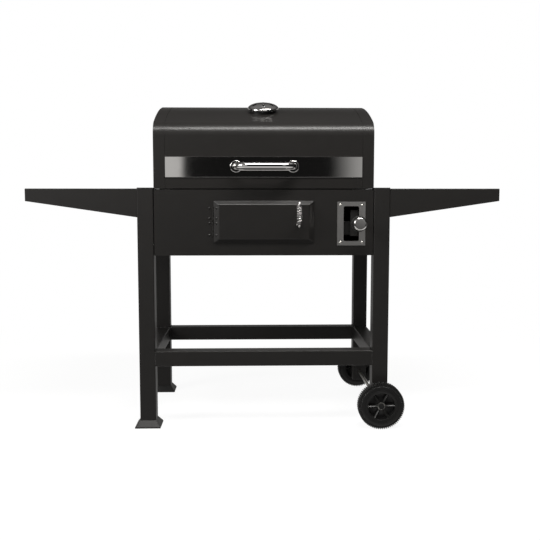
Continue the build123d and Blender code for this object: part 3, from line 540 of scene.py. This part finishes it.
def rail_welds():
    """Beads round every joint of rail and leg."""
    bm = bmesh.new()
    r = 1.7 * MM
    corner = 2.2 * MM
    inset = 0.8 * MM
    end_gap = 4 * MM
    for row in ("front", "rear"):
        low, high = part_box(f"lower_rail_{row}")
        for x in (low.x, high.x):
            for y in (low.y + inset, high.y - inset):
                bead(bm, (x, y, low.z + corner), (x, y, high.z - corner), r)
            for z in (high.z, low.z):
                bead(bm, (x, low.y + end_gap, z), (x, high.y - end_gap, z), r)
    for side in ("left", "right"):
        low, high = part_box(f"lower_rail_{side}")
        for y in (low.y, high.y):
            for x in (low.x + inset, high.x - inset):
                bead(bm, (x, y, low.z + corner), (x, y, high.z - corner), r)
            for z in (high.z, low.z):
                bead(bm, (low.x + end_gap, y, z), (high.x - end_gap, y, z), r)
    add_object("cart_weld_beads", bm, "cart", "cart_paint")


rail_welds()


# ---- floor, world, lights, camera -----------------------------------------------------------------
FLOOR_RINGS = (0.001, 0.6, 1.2, 2.0, 3.0, 5.0, 9.0, 14.0)
FLOOR_STEPS = 64
FLOOR_GAP = 0.0003                # metres under the lowest point of the grill
FLOOR_GREY = 0.16                 # what takes the shadow
FLOOR_GLOW = 0.93                 # lifts the floor near the grill to almost white
FLOOR_NEAR = 0.9                  # metres from the middle where plain white starts to take over
FLOOR_FAR = 2.1                   # and where it has


def stage_floor():
    """Round floor: takes a faint shadow near the grill and turns plain white further out."""
    bm = bmesh.new()
    turns = [2 * math.pi * i / FLOOR_STEPS for i in range(FLOOR_STEPS)]
    ring_grid(bm, [[(r * math.cos(a), r * math.sin(a), 0) for a in turns] for r in FLOOR_RINGS])
    mesh = bpy.data.meshes.new("floor")
    bm.to_mesh(mesh)
    bm.free()
    o = bpy.data.objects.new("floor", mesh)
    bpy.context.scene.collection.objects.link(o)
    o.location.z = cad_low.z - FLOOR_GAP
    m = bpy.data.materials.new("floor")
    m.use_nodes = True
    t = m.node_tree
    t.nodes.clear()
    new = t.nodes.new
    out = new("ShaderNodeOutputMaterial")
    mix = new("ShaderNodeMixShader")
    near = new("ShaderNodeAddShader")
    diffuse = new("ShaderNodeBsdfDiffuse")
    diffuse.inputs[0].default_value = (FLOOR_GREY, FLOOR_GREY, FLOOR_GREY, 1)
    glow = new("ShaderNodeEmission")
    glow.inputs[1].default_value = FLOOR_GLOW
    white = new("ShaderNodeEmission")
    white.inputs[1].default_value = 1.0
    coords = new("ShaderNodeTexCoord")
    length = new("ShaderNodeVectorMath")
    length.operation = "LENGTH"
    span = new("ShaderNodeMapRange")
    span.interpolation_type = "SMOOTHSTEP"
    span.inputs["From Min"].default_value = FLOOR_NEAR
    span.inputs["From Max"].default_value = FLOOR_FAR
    t.links.new(coords.outputs["Object"], length.inputs[0])
    t.links.new(length.outputs["Value"], span.inputs["Value"])
    t.links.new(span.outputs[0], mix.inputs[0])
    t.links.new(diffuse.outputs[0], near.inputs[0])
    t.links.new(glow.outputs[0], near.inputs[1])
    t.links.new(near.outputs[0], mix.inputs[1])
    t.links.new(white.outputs[0], mix.inputs[2])
    t.links.new(mix.outputs[0], out.inputs[0])
    o.data.materials.append(m)
    o.visible_glossy = False
    o.visible_diffuse = False


stage_floor()


def studio_world():
    """White to the camera; to the grill a dim room with pale walls, floor and backdrop, seen in its gloss."""
    world = bpy.data.worlds.new("studio")
    bpy.context.scene.world = world
    world.use_nodes = True
    t = world.node_tree
    t.nodes.clear()
    new = t.nodes.new

    def math_node(kind, a, b=None):
        n = new("ShaderNodeMath")
        n.operation = kind
        for i, v in enumerate((a, b)):
            if v is None:
                continue
            if isinstance(v, (int, float)):
                n.inputs[i].default_value = v
            else:
                t.links.new(v, n.inputs[i])
        return n.outputs[0]

    def step(value, start, end, low=0.0, high=1.0):
        n = new("ShaderNodeMapRange")
        n.interpolation_type = "SMOOTHSTEP"
        n.inputs["From Min"].default_value = start
        n.inputs["From Max"].default_value = end
        n.inputs["To Min"].default_value = low
        n.inputs["To Max"].default_value = high
        t.links.new(value, n.inputs["Value"])
        return n.outputs[0]

    coords = new("ShaderNodeTexCoord")
    axes = new("ShaderNodeSeparateXYZ")
    t.links.new(coords.outputs["Generated"], axes.inputs[0])
    x, y, z = axes.outputs
    # Each term is a brightness by direction. x, y and z are the direction's parts; degrees is its bearing
    # from straight in front of the grill, negative to the left.
    degrees = math_node("MULTIPLY", math_node("ARCTAN2", x, math_node("MULTIPLY", y, -1.0)), 180 / math.pi)
    in_front = step(y, 0.1, -0.3)
    level = math_node("MULTIPLY", step(z, -0.065, 0.01), step(z, 0.65, 0.35))
    left = math_node("MULTIPLY", step(degrees, -4.7, -5.3), step(degrees, -105, -70))
    right = math_node("MULTIPLY", step(degrees, 5.8, 8.6), step(degrees, 34, 20))
    walls = math_node("ADD", math_node("MULTIPLY", left, 0.50), math_node("MULTIPLY", right, 0.34))
    walls = math_node("MULTIPLY", walls, math_node("MULTIPLY", in_front, level))
    darkest = 0.008
    high = step(z, 0.25, 0.95, 0.0, 0.16)
    ground = math_node("MULTIPLY", step(z, -0.24, -0.46, 0.0, 0.60), step(z, -0.96, -0.75, 0.25, 1.0))
    backdrop = math_node("MULTIPLY", step(y, 0.2, 0.6, 0.0, 0.38), step(z, 0.40, 0.24))
    dim = math_node("ADD", darkest, backdrop)
    total = math_node("ADD", math_node("ADD", walls, dim), math_node("ADD", high, ground))
    path = new("ShaderNodeLightPath")
    held_back = math_node("MULTIPLY", path.outputs["Is Diffuse Ray"], 0.85)
    total = math_node("MULTIPLY", total, math_node("SUBTRACT", 1.0, held_back))
    seen = new("ShaderNodeBackground")
    seen.inputs[0].default_value = (1, 1, 1, 1)
    lit = new("ShaderNodeBackground")
    lit.inputs[0].default_value = (*DAYLIGHT, 1)
    t.links.new(total, lit.inputs[1])
    mix = new("ShaderNodeMixShader")
    t.links.new(path.outputs["Is Camera Ray"], mix.inputs[0])
    t.links.new(lit.outputs[0], mix.inputs[1])
    t.links.new(seen.outputs[0], mix.inputs[2])
    out = new("ShaderNodeOutputWorld")
    t.links.new(mix.outputs[0], out.inputs[0])


studio_world()


def softbox(name, place, target, width, height, watts, colour=DAYLIGHT):
    """A rectangular area light at place, facing target."""
    light = bpy.data.lights.new(name, "AREA")
    light.shape = "RECTANGLE"
    light.size = width
    light.size_y = height
    light.energy = watts
    light.color = colour
    light.cycles.max_bounces = 1
    o = bpy.data.objects.new(name, light)
    bpy.context.scene.collection.objects.link(o)
    o.location = place
    o.rotation_euler = (Vector(target) - Vector(place)).to_track_quat("-Z", "Y").to_euler()
    return o


softbox("key", (0.55, -1.55, 3.15), (0.1, -0.1, 0.75), 2.7, 0.42, 78, KEY_LIGHT)
softbox("fill", (-2.5, -1.8, 1.9), (-0.2, -0.1, 0.6), 1.2, 1.4, 38)
back = softbox("back", (0.9, 3.0, 0.95), (0.0, 0.2, 0.6), 2.2, 0.9, 26)
back.visible_glossy = False

camera = bpy.data.cameras.new("camera")
camera.lens = 50.84
camera.sensor_width = 36
camera.clip_end = 60
eye = bpy.data.objects.new("camera", camera)
bpy.context.scene.collection.objects.link(eye)
eye.location = (-0.0444, -2.6893, 0.7522)
tilt_down = 0.0951
turn_right = 0.0259
eye.rotation_euler = (math.pi / 2 - tilt_down, 0, -turn_right)
bpy.context.scene.camera = eye
bpy.context.scene.view_settings.view_transform = "Standard"
